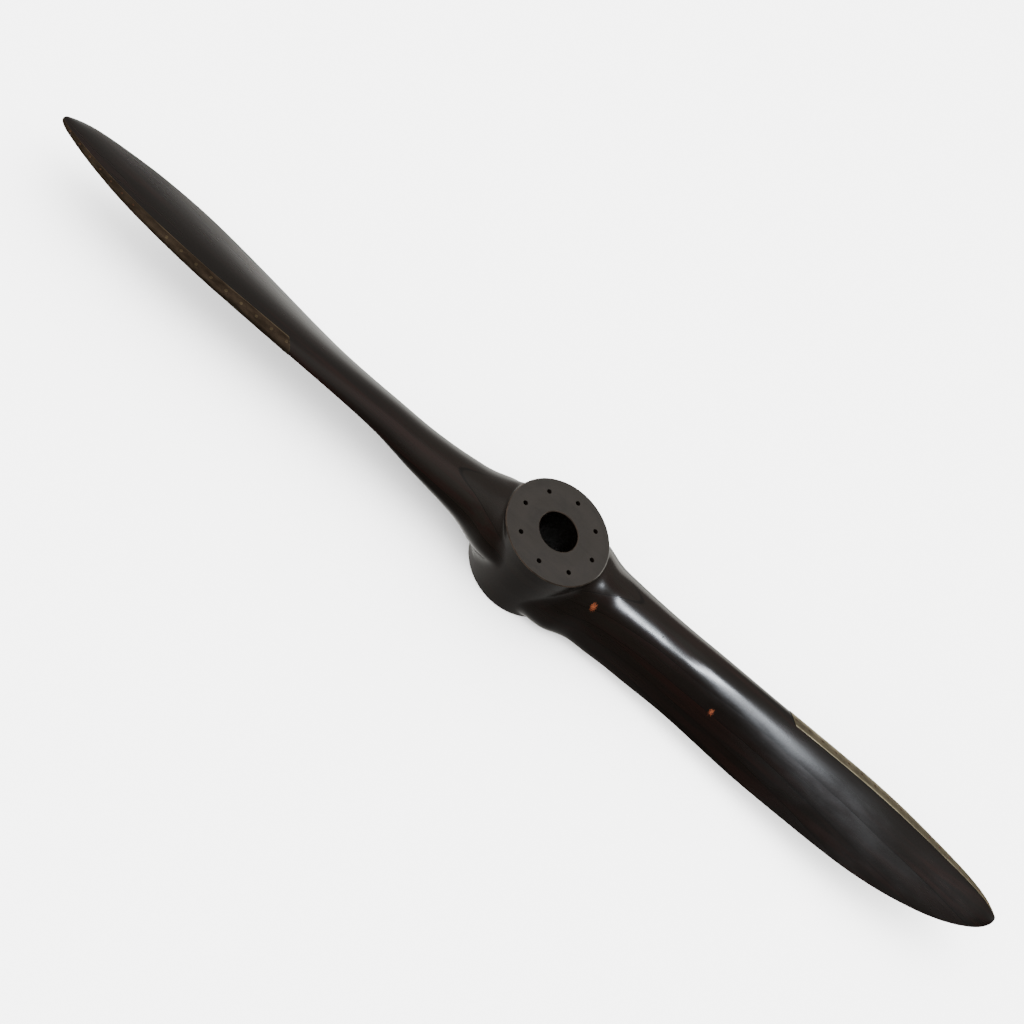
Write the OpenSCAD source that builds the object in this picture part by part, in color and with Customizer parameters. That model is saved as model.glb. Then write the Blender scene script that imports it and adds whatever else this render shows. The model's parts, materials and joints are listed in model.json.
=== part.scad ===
// Laminated two-blade wooden aeroplane propeller with brass-sheathed leading edges.
// Origin: centre of the bore on the hub's rear, mounting face. +Z points forward, along the
// thrust. +X runs along blade A, whose leading edge faces +Y. Blade B is blade A turned half a turn.

/* [Propeller] */
// Diameter from tip to tip
diameter = 2440; // [2300:10:2600]
// Geometric pitch: the advance in one turn that the outer blade is twisted for
pitch = 2070; // [1800:10:2250]
// Largest height that the twist takes up between the two edges of a blade
twist_depth = 85; // [74:1:88]

/* [Hub] */
// Hub diameter
hub_d = 234; // [228:1:244]
// Hub thickness between the rear and front faces
hub_t = 164; // [162:1:172]
// Chamfer around both hub faces
hub_chamfer = 2; // [1:0.5:4]
// Bore diameter
bore_d = 87; // [60:1:110]
// Number of bolt holes
bolt_count = 8; // [6:1:10]
// Bolt circle diameter
bolt_circle_d = 173; // [150:1:190]
// Bolt hole diameter
bolt_hole_d = 9.5; // [8:0.5:14]

/* [Boards] */
// Thickness of each full-length board and of the front cheek
board_t = 24; // [22:0.5:24.5]

/* [Blade] */
// Leading edge ahead of the blade axis, beside the hub
lead_root = 91.5; // [86:0.5:96]
// Leading edge ahead of the blade axis, at the blade's waist
lead_waist = 71.5; // [66:0.5:78]
// Leading edge ahead of the blade axis, where it is widest
lead_wide = 74.5; // [70:0.5:82]
// Trailing edge behind the blade axis, beside the hub
trail_root = 93.5; // [88:0.5:98]
// Trailing edge behind the blade axis, at the blade's waist
trail_waist = 76; // [70:0.5:84]
// Trailing edge behind the blade axis, where it is widest
trail_wide = 100; // [92:0.5:108]
// Thickness of the trailing edge
trail_t = 3; // [2:0.5:5]
// Fullness of the rounded tip: 2 makes it part of an ellipse
tip_power = 1.85; // [1.7:0.05:2.3]

/* [Sheath] */
// Start of the sheath, as a fraction of the blade's radius
sheath_start = 0.505; // [0.4:0.005:0.58]
// Thickness of the sheet brass
sheath_t = 0.8; // [0.5:0.1:1.2]
// Number of screws in each face of a sheath
screw_count = 9; // [4:1:12]
// Number of rivets along the outer part of a sheath
rivet_count = 7; // [3:1:9]

/* [Hidden] */

radius = diameter / 2;
hub_r = hub_d / 2;
board_count = 5;
front_glue_z = hub_t - board_t;
rear_glue_z = front_glue_z - board_count * board_t;

// Colours
varnish_dark = [0.11, 0.08, 0.07];
varnish_light = [0.17, 0.12, 0.10];
cheek_brown = [0.29, 0.26, 0.24];
brass_tarnished = [0.45, 0.37, 0.22];
screw_brass = [0.58, 0.47, 0.25];
rivet_copper = [0.55, 0.33, 0.22];

// Stations along a blade, as distances from the hub centre
root_x = 45;                     // first station, inside the hub
lead_tip_from = 0.65;            // start of the leading edge's rounded tip, as a fraction of the radius
trail_tip_from = 0.715;          // start of the trailing edge's rounded tip
root_steps = 16;
mid_steps = 4;
tip_steps = 16;
tip_last = 87;                   // last station on the tip's quarter arc, in degrees
sheath_x = sheath_start * radius;
tip_x = lead_tip_from * radius;
STATIONS = concat(
    [for (i = [0:root_steps - 1]) root_x + (sheath_x - root_x) * i / root_steps],
    [for (i = [0:mid_steps - 1]) sheath_x + (tip_x - sheath_x) * i / mid_steps],
    [for (i = [0:tip_steps]) tip_x + (radius - tip_x) * sin(tip_last * i / tip_steps)]);

// Curves along the blade, each a list of [fraction of the radius, value]. The first three and the
// thickness are in mm, and the rest are ratios.
LEAD_PLAN = [[0.035, 104], [0.07, 103], [0.09, 99], [0.107, lead_root], [0.13, 83.5], [0.17, 80],
             [0.25, 76], [0.33, lead_waist], [0.65, lead_wide], [1, lead_wide]];
TRAIL_PLAN = [[0.035, 106], [0.07, 105], [0.09, 102], [0.107, trail_root], [0.13, 83], [0.17, 79.5],
              [0.22, trail_waist], [0.33, 78.5], [0.5, 90.5], [0.65, 98.5], [0.715, trail_wide],
              [1, trail_wide]];
LEAD_HEIGHT = [[0.035, 109], [0.24, 111], [0.34, 120], [0.5, 123.5], [0.75, 130], [0.85, 131.5],
               [0.96, 137], [1, 133]];
THICKNESS = [[0.035, 150], [0.1, 140], [0.15, 107], [0.25, 76], [0.34, 55], [0.45, 39], [0.6, 28],
             [0.8, 17], [1, 6]];
PITCH_FACTOR = [[0.035, 1], [0.84, 1], [0.93, 1.15], [1, 1.2]];
REAR_SHARE = [[0.035, 0.45], [0.25, 0.3], [0.5, 0.14], [1, 0.1]];
NOSE_POWER = [[0.035, 0.5], [0.4, 0.58], [1, 0.6]];
TAIL_POWER = [[0.035, 0.55], [0.37, 1], [1, 1]];
twist_blend = 20;                // how sharply the twist passes from the depth limit to the pitch

// Smooth curve through a list of points: the stretch that x falls in, the slope at a point and
// the cubic through the stretch's two ends
function stretch(p, x) = len([for (k = [1:len(p) - 2]) if (x >= p[k][0]) k]);
function slope(p, i) =
    let (a = max(0, i - 1), b = min(len(p) - 1, i + 1)) (p[b][1] - p[a][1]) / (p[b][0] - p[a][0]);
function curve(p, x) =
    let (i = stretch(p, x), w = p[i + 1][0] - p[i][0], t = min(1, max(0, (x - p[i][0]) / w)))
    p[i][1] * (1 + 2 * t) * pow(1 - t, 2) + p[i + 1][1] * t * t * (3 - 2 * t)
    + w * slope(p, i) * t * pow(1 - t, 2) - w * slope(p, i + 1) * t * t * (1 - t);

// Half width of a rounded tip, from 1 at its start to 0 at the end of the blade
function tip_round(f, from) =
    f <= from ? 1 : pow(1 - pow((f - from) / (1 - from), tip_power), 1 / tip_power);

// Edges of the blade at station x: across the blade and in height
function lead_y(x) = curve(LEAD_PLAN, x / radius) * tip_round(x / radius, lead_tip_from);
function trail_y(x) = -curve(TRAIL_PLAN, x / radius) * tip_round(x / radius, trail_tip_from);
function twist_drop(x) =
    let (by_pitch = (lead_y(x) - trail_y(x)) * pitch * curve(PITCH_FACTOR, x / radius) / (2 * PI * x))
    pow(pow(by_pitch, -twist_blend) + pow(twist_depth, -twist_blend), -1 / twist_blend);
function lead_z(x) = curve(LEAD_HEIGHT, x / radius);
function trail_z(x) = lead_z(x) - twist_drop(x);

// Blade section at station x. s runs from 0 at the leading edge to 1 at the trailing edge.
function camber(s, a, b) = pow(s, a) * pow(1 - s, b) / (pow(a / (a + b), a) * pow(b / (a + b), b));
function chord_vector(x) = [trail_y(x) - lead_y(x), trail_z(x) - lead_z(x)];
function front_normal(x) = let (c = chord_vector(x)) [c[1], -c[0]] / norm(c);
function front_height(x, s) =
    let (f = x / radius)
    trail_t / 2 * s + curve(THICKNESS, f) * (1 - curve(REAR_SHARE, f))
        * camber(s, curve(NOSE_POWER, f), curve(TAIL_POWER, f));
function rear_height(x, s) =
    let (f = x / radius)
    -trail_t / 2 * s - curve(THICKNESS, f) * curve(REAR_SHARE, f) * 2 * sqrt(s * (1 - s));
function surface_point(x, s, front) =
    [lead_y(x), lead_z(x)] + chord_vector(x) * s
    + front_normal(x) * (front ? front_height(x, s) : rear_height(x, s));

// Points around a section, from the trailing edge over the front to the nose and back beneath
side_steps = 14;
nose = side_steps;               // index of the leading-edge point
function spacing(k) = (1 - cos(180 * k / side_steps)) / 2;
function section(x) = concat(
    [for (k = [side_steps:-1:0]) surface_point(x, spacing(k), true)],
    [for (k = [1:side_steps]) surface_point(x, spacing(k), false)]);

// The section's points from one flap edge round the nose to the other, moved outwards by gap
flap_steps = 3;                  // section points that each flap covers behind the nose
fit_gap = 0.05;                  // clearance between the brass and the wood
function left_of(v) = [-v[1], v[0]] / norm(v);
function around_nose(x, gap) =
    let (p = section(x))
    [for (i = [nose - flap_steps:nose + flap_steps]) p[i] + gap * left_of(p[i + 1] - p[i - 1])];
function reversed(list) = [for (i = [len(list) - 1:-1:0]) list[i]];
function sheath_section(x) =
    concat(around_nose(x, fit_gap + sheath_t), reversed(around_nose(x, fit_gap)));

// Closed solid through rings of points, one ring for each station
function ring(x, outline) = [for (p = outline) [x, p[0], p[1]]];
module skin(rings) {
    n = len(rings[0]);
    last = len(rings) - 1;
    polyhedron(
        points = [for (r = rings) each r],
        faces = concat(
            [[for (i = [n - 1:-1:0]) i]],
            [for (j = [0:last - 1], i = [0:n - 1])
                let (a = j * n, k = (i + 1) % n)
                each [[a + i, a + k, a + n + k], [a + i, a + n + k, a + n + i]]],
            [[for (i = [0:n - 1]) last * n + i]]));
}

// Turns blade A's children half a turn, onto blade B
module on_blade_b() {
    rotate([0, 0, 180]) children();
}

// Moves children to the outside of the sheath, with +Z along the surface's outward normal
slope_step = 0.01;
module on_sheath(x, s, front) {
    p = surface_point(x, s, front);
    step = front ? -slope_step : slope_step;
    out = left_of(surface_point(x, s + step, front) - surface_point(x, s - step, front));
    q = p + (fit_gap + sheath_t) * out;
    translate([x, q[0], q[1]]) rotate([atan2(-out[0], out[1]), 0, 0]) children();
}

// Fasteners of blade A's sheath. With gap they are the holes that hold them.
fastener_s = 0.05;               // place of the rows across the chord
fastener_gap = 0.05;             // clearance all round in a hole
hole_rise = 4;                   // height of a hole's cutter above the brass
screw_head_d = 6.5;
screw_head_h = 1.6;
screw_shank_d = 3;
screw_length = 6.5;
screws_from = sheath_start + 0.015;
screws_to = 0.79;
rivet_head_d = 5;
rivet_head_h = 1.2;
rivet_shank_d = 2.5;
rivet_length = 4.2;
rivets_from = 0.83;
rivets_to = 0.975;
module countersunk(head_d, head_h, shank_d, length, gap) {
    rise = gap > 0 ? hole_rise : 0;
    translate([0, 0, -head_h - gap])
        cylinder(d = head_d + 2 * gap, h = head_h + gap + rise, $fn = 32);
    translate([0, 0, -length - gap])
        cylinder(d = shank_d + 2 * gap, h = length - head_h + 2 * gap, $fn = 24);
}
// Screws in both flaps: those behind stand midway between those in front
module screws(gap) {
    step = (screws_to - screws_from) / screw_count;
    for (front = [true, false], i = [0:screw_count - 1])
        on_sheath(radius * (screws_from + step * (i + (front ? 0 : 0.5))), fastener_s, front)
            countersunk(screw_head_d, screw_head_h, screw_shank_d, screw_length, gap);
}
module rivets(gap) {
    step = (rivets_to - rivets_from) / (rivet_count - 1);
    for (i = [0:rivet_count - 1])
        on_sheath(radius * (rivets_from + step * i), fastener_s, true)
            countersunk(rivet_head_d, rivet_head_h, rivet_shank_d, rivet_length, gap);
}

// The whole carved shape, before it is cut into boards
module blade() {
    skin([for (x = STATIONS) ring(x, section(x))]);
}
module hub() {
    rotate_extrude($fn = 96) polygon([
        [0, 0], [hub_r - hub_chamfer, 0], [hub_r, hub_chamfer],
        [hub_r, hub_t - hub_chamfer], [hub_r - hub_chamfer, hub_t], [0, hub_t]]);
}
module carved_body() {
    blade();
    on_blade_b() blade();
    hub();
}
module bore_and_bolt_holes() {
    translate([0, 0, -1]) {
        cylinder(d = bore_d, h = hub_t + 2, $fn = 96);
        for (i = [0:bolt_count - 1])
            rotate([0, 0, 360 * i / bolt_count]) translate([bolt_circle_d / 2, 0, 0])
                cylinder(d = bolt_hole_d, h = hub_t + 2, $fn = 32);
    }
}
// One layer of the carved shape, from height low to height high
module layer(low, high) {
    difference() {
        intersection() {
            carved_body();
            translate([-diameter, -hub_d, low]) cube([2 * diameter, 2 * hub_d, high - low]);
        }
        bore_and_bolt_holes();
    }
}

// Wooden parts
module rear_hub_cheek() {
    color(cheek_brown) layer(0, rear_glue_z);
}
module front_hub_cheek() {
    color(cheek_brown) layer(front_glue_z, hub_t);
}
module board(i) {
    low = rear_glue_z + (i - 1) * board_t;
    color(i % 2 == 0 ? varnish_dark : varnish_light) layer(low, low + board_t);
}
// The foremost board carries the leading edges, and with them the sheaths' fasteners
module front_board() {
    color(varnish_light) difference() {
        layer(front_glue_z - board_t, front_glue_z);
        fastener_holes();
        on_blade_b() fastener_holes();
    }
}
module fastener_holes() {
    screws(fastener_gap);
    rivets(fastener_gap);
}

// Brass parts of blade A
module sheath() {
    color(brass_tarnished) difference() {
        skin([for (x = STATIONS) if (x >= sheath_x - fit_gap) ring(x, sheath_section(x))]);
        fastener_holes();
    }
}
module sheath_screws() {
    color(screw_brass) screws(0);
}
module sheath_rivets() {
    color(rivet_copper) rivets(0);
}

rear_hub_cheek();
board(1);  // board_1
board(2);  // board_2
board(3);  // board_3
board(4);  // board_4
front_board();  // board_5
front_hub_cheek();
sheath();  // sheath_a
on_blade_b() sheath();  // sheath_b
sheath_screws();  // sheath_screws_a
on_blade_b() sheath_screws();  // sheath_screws_b
sheath_rivets();  // sheath_rivets_a
on_blade_b() sheath_rivets();  // sheath_rivets_b
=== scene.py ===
import json
import math

import bmesh
import bpy
import numpy as np
from mathutils import Matrix, Vector
from mathutils.bvhtree import BVHTree


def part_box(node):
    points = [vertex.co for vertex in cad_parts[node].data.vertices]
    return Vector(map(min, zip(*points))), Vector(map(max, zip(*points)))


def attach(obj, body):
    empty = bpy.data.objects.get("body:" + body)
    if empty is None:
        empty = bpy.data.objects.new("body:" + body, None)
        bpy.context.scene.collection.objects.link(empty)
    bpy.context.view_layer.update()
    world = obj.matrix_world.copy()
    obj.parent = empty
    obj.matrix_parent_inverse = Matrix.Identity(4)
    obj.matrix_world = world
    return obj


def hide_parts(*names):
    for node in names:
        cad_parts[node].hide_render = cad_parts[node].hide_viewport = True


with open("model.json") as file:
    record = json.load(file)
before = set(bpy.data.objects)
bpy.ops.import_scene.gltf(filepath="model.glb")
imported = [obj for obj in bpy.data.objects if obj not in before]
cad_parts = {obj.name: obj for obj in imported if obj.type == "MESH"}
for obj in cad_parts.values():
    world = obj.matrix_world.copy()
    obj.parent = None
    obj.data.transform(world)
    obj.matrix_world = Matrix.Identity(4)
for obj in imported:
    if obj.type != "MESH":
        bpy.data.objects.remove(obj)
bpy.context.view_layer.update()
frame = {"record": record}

# A laminated wooden propeller, in metres. +Z is the thrust axis, +X runs along blade A, whose
# leading edge faces +Y. Blade B is blade A turned half a turn about Z.

# ---------------------------------------------------------------- sizes taken from the frame
MOUNTS = {mount["name"]: mount["dims"] for mount in frame["record"]["mounts"]}
FRONT_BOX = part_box("front_hub_cheek")
HUB_R = FRONT_BOX[1].y
HUB_TOP = FRONT_BOX[1].z
TIP_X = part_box("board_5")[1].x
BORE_R = MOUNTS["hub_bore"]["r_mm"] / 1000
BOLT_CIRCLE_R = MOUNTS["hub_bolts"]["pcd_mm"] / 2000
BOLT_COUNT = MOUNTS["hub_bolts"]["count"]
BOLT_HOLE_R = MOUNTS["hub_bolts"]["hole_r_mm"] / 1000
BOARDS = ["rear_hub_cheek", "board_1", "board_2", "board_3", "board_4", "board_5", "front_hub_cheek"]

# ---------------------------------------------------------------- the blade's design
RADIUS = 1.22
PITCH = 2.07
TWIST_DEPTH = 0.085      # the most by which the trailing edge lies below the leading edge
TWIST_BLEND = 20
TRAIL_T = 0.003
TIP_POWER = 1.85
LEAD_TIP_FROM = 0.65     # fractions of the radius at which the two edges start to round in to the tip
TRAIL_TIP_FROM = 0.715
ROOT_X = 0.045
END_ROUND = 0.004        # stretch over which the very end of the blade rounds off
# Design curves, as points of (fraction of the radius, value)
LEAD_PLAN = [(0.035, 0.104), (0.07, 0.103), (0.09, 0.099), (0.107, 0.0915), (0.13, 0.0835), (0.17, 0.08),
             (0.25, 0.076), (0.33, 0.0715), (0.65, 0.0745), (1, 0.0745)]
TRAIL_PLAN = [(0.035, 0.106), (0.07, 0.105), (0.09, 0.102), (0.107, 0.0935), (0.13, 0.083), (0.17, 0.0795),
              (0.22, 0.076), (0.33, 0.0785), (0.5, 0.0905), (0.65, 0.0985), (0.715, 0.1), (1, 0.1)]
LEAD_HEIGHT = [(0.035, 0.109), (0.24, 0.111), (0.34, 0.12), (0.5, 0.1235), (0.75, 0.13), (0.85, 0.1315),
               (0.96, 0.137), (1, 0.133)]
THICKNESS = [(0.035, 0.15), (0.1, 0.14), (0.15, 0.107), (0.25, 0.076), (0.34, 0.055), (0.45, 0.039),
             (0.6, 0.028), (0.8, 0.017), (1, 0.006)]
PITCH_FACTOR = [(0.035, 1), (0.84, 1), (0.93, 1.15), (1, 1.2)]
REAR_SHARE = [(0.035, 0.45), (0.25, 0.3), (0.5, 0.14), (1, 0.1)]
NOSE_POWER = [(0.035, 0.5), (0.4, 0.58), (1, 0.6)]
TAIL_POWER = [(0.035, 0.55), (0.37, 1), (1, 1)]


def curve(points, f):
    """Smooth curve through points of (fraction of the radius, value)."""
    p = np.array(points, float)
    k = np.clip(np.searchsorted(p[:, 0], f, side="right") - 1, 0, len(p) - 2)
    before = np.maximum(np.arange(len(p)) - 1, 0)
    after = np.minimum(np.arange(len(p)) + 1, len(p) - 1)
    slope = (p[after, 1] - p[before, 1]) / (p[after, 0] - p[before, 0])
    w = p[k + 1, 0] - p[k, 0]
    t = np.clip((f - p[k, 0]) / w, 0, 1)
    ends = p[k, 1] * (1 + 2 * t) * (1 - t) ** 2 + p[k + 1, 1] * t * t * (3 - 2 * t)
    return ends + w * slope[k] * t * (1 - t) ** 2 - w * slope[k + 1] * t * t * (1 - t)


def faired(points, f, reach=0.012):
    """The curve evened out over a short stretch, so that reflections run along it without kinks."""
    steps = np.array([-1, -2 / 3, -1 / 3, 0, 1 / 3, 2 / 3, 1])
    weights = np.array([1, 6, 15, 20, 15, 6, 1]) / 64
    return sum(w * curve(points, f + reach * s) for s, w in zip(steps, weights))


def tip_round(f, start):
    """Half width of a rounded tip, from 1 at its start to 0 at the end of the blade."""
    t = np.clip((f - start) / (1 - start), 0, 1)
    return (1 - t ** TIP_POWER) ** (1 / TIP_POWER)


def blade_edges(x):
    """The leading and trailing edges at each station x, as (y, z) pairs."""
    f = x / RADIUS
    lead_y = faired(LEAD_PLAN, f) * tip_round(f, LEAD_TIP_FROM)
    trail_y = -faired(TRAIL_PLAN, f) * tip_round(f, TRAIL_TIP_FROM)
    by_pitch = (lead_y - trail_y) * PITCH * faired(PITCH_FACTOR, f) / (2 * math.pi * x)
    drop = (by_pitch ** -TWIST_BLEND + TWIST_DEPTH ** -TWIST_BLEND) ** (-1 / TWIST_BLEND)
    lead_z = faired(LEAD_HEIGHT, f)
    return np.stack([lead_y, lead_z], -1), np.stack([trail_y, lead_z - drop], -1)


def camber(s, a, b):
    """The front's curve across the chord, 1 at its highest, by the powers a and b."""
    peak = (a / (a + b)) ** a * (b / (a + b)) ** b
    return s ** a * (1 - s) ** b / peak


def stations(x):
    """What a section needs at each station x: both edges as (y, z), the thickness in front of the
    chord, behind it and at the trailing edge, and the two powers of the front's curve."""
    lead, trail = blade_edges(x)
    f = x / RADIUS
    end = np.sqrt(1 - np.clip((x - TIP_X + END_ROUND) / END_ROUND, 0, 0.985) ** 2)
    full = faired(THICKNESS, f) * end
    share = faired(REAR_SHARE, f)
    sizes = [full * (1 - share), full * share, TRAIL_T / 2 * end]
    powers = [faired(NOSE_POWER, f), faired(TAIL_POWER, f)]
    return np.concatenate([lead, trail, np.stack(sizes + powers, -1)], -1)


def outline(station, u):
    """Points (y, z) of the skin by one number u, round the section: 0 at the trailing edge, over the
    front to 1 at the leading edge, and back beneath to 2."""
    lead, trail = station[..., 0:2], station[..., 2:4]
    above, below, edge, a, b = (station[..., k] for k in range(4, 9))
    u = np.mod(u, 2)
    s = (1 + np.cos(np.pi * u)) / 2
    s = np.clip(s, 0, 1)
    chord = trail - lead
    width = np.hypot(chord[..., 0], chord[..., 1])
    rounded = 1 - TRAIL_T / 2 / width
    edge = edge * s * np.sqrt(1 - np.clip((s - rounded) / (1 - rounded), 0, 1) ** 2)
    front = edge + above * camber(s, a, b)
    rear = -edge - below * 2 * np.sqrt(s * (1 - s))
    height = np.where(u < 1, front, rear) / width
    y = lead[..., 0] + chord[..., 0] * s + chord[..., 1] * height
    z = lead[..., 1] + chord[..., 1] * s - chord[..., 0] * height
    return np.stack([y, z], -1)


def outward(station, u, step=1e-3):
    """Unit normals (y, z) that point out of the section."""
    along = outline(station, u + step) - outline(station, u - step)
    normal = np.stack([along[..., 1], -along[..., 0]], -1)
    return -normal / np.linalg.norm(normal, axis=-1, keepdims=True)


# ---------------------------------------------------------------- the carved wood, as one skin
JOIN_X = 0.232           # the hub's skin is made by a field up to here, and by rings beyond it
GRID_STEP = 0.0025
FILLET = 0.038           # depth of the carved fillets between the hub's wall and the blades
RIM_DEPTH = 0.030        # the fillets fade out over this depth below each hub face
COARSE = 72              # points round a section for a first guess
SETTLE_STEPS = 3         # rounds that move a guess onto the surface
TABLE_X = np.linspace(ROOT_X, JOIN_X + 0.02, 800)
TABLE = stations(TABLE_X)


def quick_stations(x):
    """The stations near the hub, read from a fine table."""
    at = np.clip((x - TABLE_X[0]) / (TABLE_X[1] - TABLE_X[0]), 0, len(TABLE_X) - 1.001)
    low = at.astype(int)
    t = (at - low)[..., None]
    return TABLE[low] * (1 - t) + TABLE[low + 1] * t


def on_blade_a(points):
    """Points of blade B turned onto blade A, with the sign that turns them back."""
    side = np.where(points[:, :1] < 0, -1.0, 1.0)
    return points * np.hstack([side, side, np.ones_like(side)]), side[:, 0]


def nearest_u(station, p):
    """The nearest of COARSE points round the outline, and whether each point p lies inside them."""
    u = (np.arange(COARSE) + 0.5) * 2 / COARSE
    ring = outline(station[:, None], u[None, :])
    after = np.roll(ring, -1, axis=1)
    y, z = p[:, None, 0], p[:, None, 1]
    spans = (ring[..., 1] > z) != (after[..., 1] > z)
    rise = after[..., 1] - ring[..., 1]
    along = (z - ring[..., 1]) / np.where(np.abs(rise) < 1e-9, 1e-9, rise)
    beyond = spans & (y < ring[..., 0] + (after[..., 0] - ring[..., 0]) * along)
    inside = beyond.sum(1) % 2 == 1
    return u[np.argmin(((ring - p[:, None]) ** 2).sum(-1), axis=1)], inside


def section_field(points, u, inside=None):
    """Signed distance from the blade's section, the direction away from it, and the numbers u of the
    nearest points of the outline, from a first guess."""
    turned, side = on_blade_a(points)
    station = quick_stations(np.maximum(turned[:, 0], ROOT_X))
    p = turned[:, 1:]
    small = 2e-3
    for _ in range(SETTLE_STEPS):
        here = outline(station, u)
        ahead, behind = outline(station, u + small), outline(station, u - small)
        first = (ahead - behind) / (2 * small)
        second = (ahead - 2 * here + behind) / small ** 2
        gap = p - here
        square = (first ** 2).sum(-1)
        bottom = square - (gap * second).sum(-1)
        bottom = np.where(bottom > square * 0.1, bottom, square + 1e-12)
        u = u + np.clip((gap * first).sum(-1) / bottom, -1 / COARSE, 1 / COARSE)
    out = outward(station, u)
    gap = p - outline(station, u)
    reach = np.linalg.norm(gap, axis=1)
    if inside is None:
        inside = (gap * out).sum(-1) < 0
    sign = np.where(inside, -1.0, 1.0)
    away = np.where(reach[:, None] > 1e-5, gap * (sign / np.maximum(reach, 1e-9))[:, None], out)
    return sign * reach, np.stack([0 * side, away[:, 0] * side, away[:, 1]], 1), u


def smoothstep(low, high, value):
    """0 up to low, 1 from high, and a smooth rise between."""
    t = np.clip((value - low) / (high - low), 0, 1)
    return t * t * (3 - 2 * t)


def body_field(points, u, inside=None):
    """Negative inside the wood: the hub's wall and the blades, blended by carved fillets."""
    blade, away, u = section_field(points, u, inside)
    r = np.hypot(points[:, 0], points[:, 1])
    wall = r - HUB_R
    facing = (points[:, 0] * away[:, 0] + points[:, 1] * away[:, 1]) / np.maximum(r, 1e-6)
    depth = np.minimum(points[:, 2], HUB_TOP - points[:, 2])
    k = FILLET * np.clip(1 - facing, 0, 1) * smoothstep(0, RIM_DEPTH, depth) + 1e-5
    h = np.clip(0.5 + 0.5 * (blade - wall) / k, 0, 1)
    return blade * (1 - h) + wall * h - k * h * (1 - h), u


def field_slope(points, u, step=2e-4):
    slopes = []
    for axis in range(3):
        shift = np.zeros(3)
        shift[axis] = step
        ahead, behind = body_field(points + shift, u)[0], body_field(points - shift, u)[0]
        slopes.append((ahead - behind) / (2 * step))
    return np.stack(slopes, -1)


def surface_nets(values, low, step):
    """Vertices and quads of the surface where values pass through zero."""
    cells = np.array(values.shape) - 1
    total = np.zeros((*cells, 3))
    count = np.zeros(cells)
    units = np.eye(3, dtype=int)
    for axis in range(3):
        p, q = units[(axis + 1) % 3], units[(axis + 2) % 3]
        for corner in (0 * p, p, q, p + q):
            start = values[tuple(slice(c, c + n) for c, n in zip(corner, cells))]
            end = values[tuple(slice(c, c + n) for c, n in zip(corner + units[axis], cells))]
            cross = (start < 0) != (end < 0)
            t = np.where(cross, start / np.where(cross, start - end, 1), 0)
            total += np.where(cross[..., None], corner + t[..., None] * units[axis], 0)
            count += cross
    index = np.full(cells, -1)
    used = count > 0
    index[used] = np.arange(used.sum())
    verts = low + step * (np.argwhere(used) + total[used] / count[used][:, None])
    quads = []
    for axis in range(3):
        p, q = (axis + 1) % 3, (axis + 2) % 3
        sizes = cells.copy()
        start = [slice(0, n) for n in sizes]
        start[p] = slice(1, sizes[p])
        start[q] = slice(1, sizes[q])
        end = list(start)
        end[axis] = slice(1, sizes[axis] + 1)
        a, b = values[tuple(start)] < 0, values[tuple(end)] < 0
        for mask, turn in ((a & ~b, 1), (~a & b, -1)):
            at = np.argwhere(mask) + np.array([s.start for s in start])
            back_p, back_q = units[p], units[q]
            corners = [at - back_p - back_q, at - back_q, at, at - back_p][::turn]
            quads.append(np.stack([index[tuple(c.T)] for c in corners], 1))
    return verts, np.concatenate(quads)


def boundary_loops(faces):
    """Loops of the edges that only one face uses, in the direction of those faces."""
    edges = {}
    for face in faces:
        for a, b in zip(face, face[1:] + face[:1]):
            edges[(a, b)] = True
    following = {a: b for a, b in edges if (b, a) not in edges}
    loops = []
    while following:
        first, at = following.popitem()
        loop = [first]
        while at != first:
            loop.append(at)
            at = following.pop(at)
        loops.append(loop)
    return loops


def around(points):
    """Share of the way round a closed loop at each of its points."""
    steps = np.linalg.norm(np.roll(points, -1, axis=0) - points, axis=1)
    return np.concatenate([[0], np.cumsum(steps)[:-1]]) / steps.sum()


def zip_loops(verts, one, other):
    """Triangles between two loops that run the same way."""
    a, b = verts[one], verts[other]
    start = np.argmin(a[:, 2])
    near = np.argmin(np.linalg.norm(b - a[start], axis=1))
    one, other = np.roll(one, -start), np.roll(other, -near)
    s, t = around(verts[one]), around(verts[other])
    i = j = 0
    faces = []
    while i < len(one) or j < len(other):
        next_s = s[i + 1] if i + 1 < len(one) else (1.0 if i < len(one) else 9)
        next_t = t[j + 1] if j + 1 < len(other) else (1.0 if j < len(other) else 9)
        p, q = one[i % len(one)], other[j % len(other)]
        if next_s <= next_t:
            faces.append([p, one[(i + 1) % len(one)], q])
            i += 1
        else:
            faces.append([p, other[(j + 1) % len(other)], q])
            j += 1
    return faces


RING_POINTS = 112
RING_STEP = 0.004
TIP_RINGS = 64


def blade_stations():
    """Places of the rings along a blade, closer together towards the tip."""
    tip_from = LEAD_TIP_FROM * RADIUS
    straight = np.arange(JOIN_X + 0.003, tip_from, RING_STEP)
    angles = np.linspace(0, math.pi / 2, TIP_RINGS)
    return np.concatenate([straight, tip_from + (TIP_X - tip_from) * np.sin(angles)])


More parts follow.
